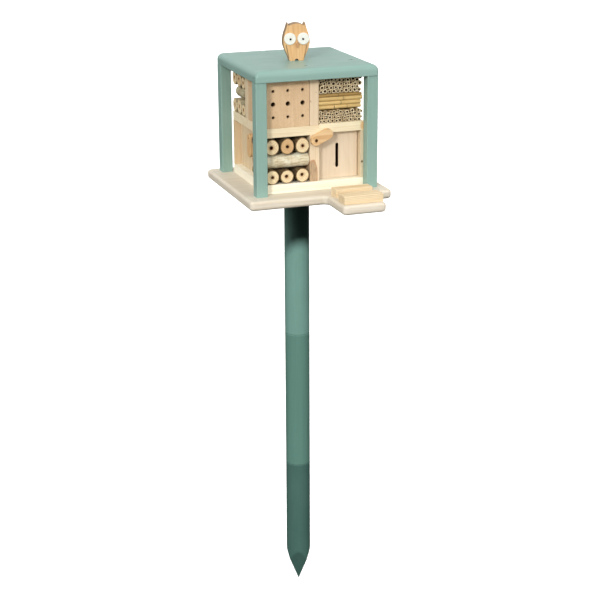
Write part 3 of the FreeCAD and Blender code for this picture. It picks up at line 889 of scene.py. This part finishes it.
def burnt_sides(g, colour):
    """The owl's sawn outline, scorched grey-brown all round between its two flat faces."""
    low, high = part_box("owl_body")
    centre = (low + high) / 2
    turn = math.radians(OWL_TURN)
    x, y, z = g.split(g.shifted(g.place(), [-c for c in centre]))
    through = g.math("ADD", g.math("MULTIPLY", x, -math.sin(turn)), g.math("MULTIPLY", y, math.cos(turn)))
    scorch = g.noise(g.scaled(g.place(), (240, 240, 120)), detail=3.0)
    edge = g.math("ADD", g.math("ABSOLUTE", through), g.span(scorch, 0.3, 0.7, -0.4 * MM, 0.4 * MM))
    inner = g.span(edge, OWL_HALF - 1.5 * MM, OWL_HALF - 0.4 * MM, 1.0, 0.0)
    shade = g.mix(g.span(scorch, 0.35, 0.7), tint(170, 144, 114), tint(112, 90, 68))
    return g.mix(g.math("MULTIPLY", inner, 0.9), colour, shade)


def turned_rings(g, colour):
    """Faint rings left on the owl's eyes by the lathe."""
    vector = g.place()
    for eye in ("owl_left_eye", "owl_right_eye"):
        low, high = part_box(eye)
        off = g.shifted(vector, [-c for c in (low + high) / 2])
        far = g.node("VectorMath", [(0, off)], 1, operation="LENGTH")
        wave = g.math("SINE", g.math("MULTIPLY", far, 2600.0))
        near = g.span(far, 12.5 * MM, 13 * MM, 1.0, 0.0)
        line = g.math("MULTIPLY", g.span(wave, 0.2, 1.0, 0.0, 0.6), near)
        colour = g.mix(line, colour, tint(198, 202, 196))
    return colour


# ---------------------------------------------------------------- build

make_camera()
make_sky()
make_floor()
make_backdrop()
bpy.context.scene.view_settings.view_transform = "Standard"

PALE = tint(238, 220, 186)
PALE_DARK = tint(206, 172, 124)
WARM = tint(241, 223, 188)
WARM_DARK = tint(211, 172, 117)
TAN = tint(224, 204, 170)
TAN_DARK = tint(198, 166, 122)
OWL_TURN = -11.0            # degrees
OWL_HALF = 12 * MM          # half its thickness

# the third branch look is painted dark brown as the shade inside the bores
branch_looks = [cut_end("branch_end", tint(251, 236, 195), tint(216, 176, 124), tint(176, 132, 84)),
                bark("branch_bark", tint(138, 112, 74), tint(48, 36, 22), tint(142, 134, 92)),
                plain_fibre("bore_wall_shade", tint(146, 96, 54), tint(76, 48, 28))]
grey_looks = [branch_looks[0],
              bark("grey_bark", tint(206, 194, 160), tint(128, 108, 76), tint(190, 188, 158), 0.3),
              branch_looks[2]]
birch_looks = [branch_looks[0],
               bark("birch_bark", tint(245, 237, 210), tint(172, 152, 112), tint(240, 240, 220), 0.4, 1.5),
               branch_looks[2]]
make_logs("front", "Y", ("left", "middle", "right"), branch_looks,
          {("upper", "middle"): 1.0, ("lower", "left"): 0.0}, {"upper": 1.2})
make_logs("left", "X", ("front", "middle", "back"), grey_looks, {("upper", "middle"): 0.4}, {})
birch_knots = [(38 * MM, 1.9, 1.6 * MM), (70 * MM, 1.75, 1.8 * MM)]
make_cross_logs("front_cross_logs", "X", birch_looks, birch_knots)
make_cross_logs("left_cross_logs", "Y", grey_looks, ())

# the third reed look is painted dark brown as the shade inside the hollow stalks
reed_looks = [straw("reed_skin", tint(206, 184, 138), tint(140, 108, 66), 0.5),
              plain_fibre("reed_cut", tint(242, 226, 192), tint(208, 178, 130)),
              plain_fibre("reed_inside_shade", tint(112, 78, 44), tint(58, 38, 20))]
cane_looks = [straw("cane_skin", tint(224, 194, 130), tint(156, 120, 64), 0.28), reed_looks[1], reed_looks[2]]
make_reeds("lower_reeds", 2.6 * MM, 4.1 * MM, 0.42, reed_looks, 5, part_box("middle_canes")[0].z)
make_reeds("upper_reeds", 3.4 * MM, 4.7 * MM, 0.40, reed_looks, 8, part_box("roof")[0].z)
make_canes("middle_canes", cane_looks)

# The green is the stain; each lower section is made darker as painted shade.
STAIN_AND_SHADE = {"upper": tint(113, 151, 142), "middle": tint(91, 129, 119), "lower": tint(66, 99, 92)}
for number, (part, colour) in enumerate(STAIN_AND_SHADE.items()):
    look = paint("stain_and_shade_" + part, "Z", 61 + number, colour, tint(84, 118, 106), 0.6, 0.45, 0.2)
    make_stake_section("stake_" + part + "_section", look, part == "lower")

# Grain direction, early wood, late wood, where the pith lies across the grain, contrast, and figure.
BOARDS = {
    "base_plate": ("X", tint(228, 220, 204), tint(205, 188, 163), (0.05, 0.60), 0.35, None),
    "landing_slat_front": ("X", WARM, WARM_DARK, (-0.21, 0.66), 0.6, None),
    "landing_slat_back": ("X", WARM, WARM_DARK, (-0.16, 0.74), 0.6, None),
    "bottom_board": ("X", tint(251, 247, 230), tint(236, 218, 184), (-0.06, 0.66), 0.3, None),
    "left_shelf": ("X", tint(244, 231, 199), tint(216, 188, 142), (-0.08, 0.86), 0.45, None),
    "right_shelf": ("X", tint(247, 237, 206), tint(217, 191, 145), (-0.13, 0.77), 0.3, end_knot),
    "lower_divider": ("Z", tint(237, 219, 190), tint(207, 175, 132), (0.03, -0.13), 0.45, heartwood),
    "upper_divider": ("Z", tint(232, 211, 180), tint(206, 171, 131), (-0.04, -0.12), 0.35, dark_specks),
    "upper_cross_board": ("Z", tint(232, 214, 182), PALE_DARK, (-0.13, 0.04), 0.4, None),
    "lower_cross_board": ("Z", tint(233, 220, 193), tint(201, 172, 128), (-0.12, -0.04), 0.4, end_stains),
    "right_side_wall": ("Z", tint(222, 207, 178), tint(198, 170, 130), (0.12, -0.06), 0.3, rusty_nail),
    "right_room_back_wall": ("Z", PALE, PALE_DARK, (0.12, 0.80), 0.45, None),
    "left_room_back_wall": ("Z", TAN, TAN_DARK, (0.03, 0.11), 0.45, None),
    "front_door": ("Z", tint(223, 205, 181), tint(208, 183, 153), (0.05, -0.14), 0.16, slot_shade),
    "left_door": ("Z", TAN, TAN_DARK, (-0.14, 0.05), 0.5, None),
    "front_turn_button": ("X", tint(230, 196, 147), tint(202, 152, 95), (-0.14, 0.80), 0.7, None),
    "left_turn_button": ("Z", tint(228, 190, 138), tint(196, 142, 84), (-0.14, -0.04), 0.7, None),
}
for number, (node, (axis, light, dark, pith, contrast, figure)) in enumerate(BOARDS.items()):
    dress(wood("wood_" + node, axis, number + 3, light, dark, pith, contrast=contrast, patch=figure), node)

roof_green = tint(143, 177, 168)
post_green = tint(140, 174, 164)
PAINTED = {"roof": ("X", 0.32, roof_green)}
PAINTED.update((side + "_post", ("Z", 0.5, post_green))
               for side in ("front_left", "front_right", "back_left", "back_right"))
for number, (node, (axis, matt, green)) in enumerate(PAINTED.items()):
    dress(paint("paint_" + node, axis, number + 40, green, tint(152, 178, 170), matt), node)

block_look = beech("block_beech", "Z", 77, tint(226, 196, 158), tint(204, 168, 126), bored_holes)
dress(block_look, "drilled_block", "roof_dowels", "owl_dowels")
dress(metal("aged_steel", tint(112, 78, 50), 0.45),
      *(node for node in frame["nodes"] if any(word in node for word in ("screw", "pin", "brad", "stud"))))

dress(wood("owl_wood", "Z", 91, tint(221, 180, 127), tint(195, 141, 85), (-0.02, 0.06), contrast=0.5,
           patch=burnt_sides), "owl_body")
dress(wood("beak_wood", "Z", 92, tint(196, 146, 98), tint(126, 80, 42), (0, 0)), "owl_beak")
dress(wood("eye_white", "Z", 95, tint(238, 239, 234), tint(226, 222, 206), (0.02, 0.03), contrast=0.15,
           patch=turned_rings), "owl_left_eye", "owl_right_eye")
dress(metal("pupil_black", tint(24, 22, 20), 0.4), "owl_pupils")

make_lights()
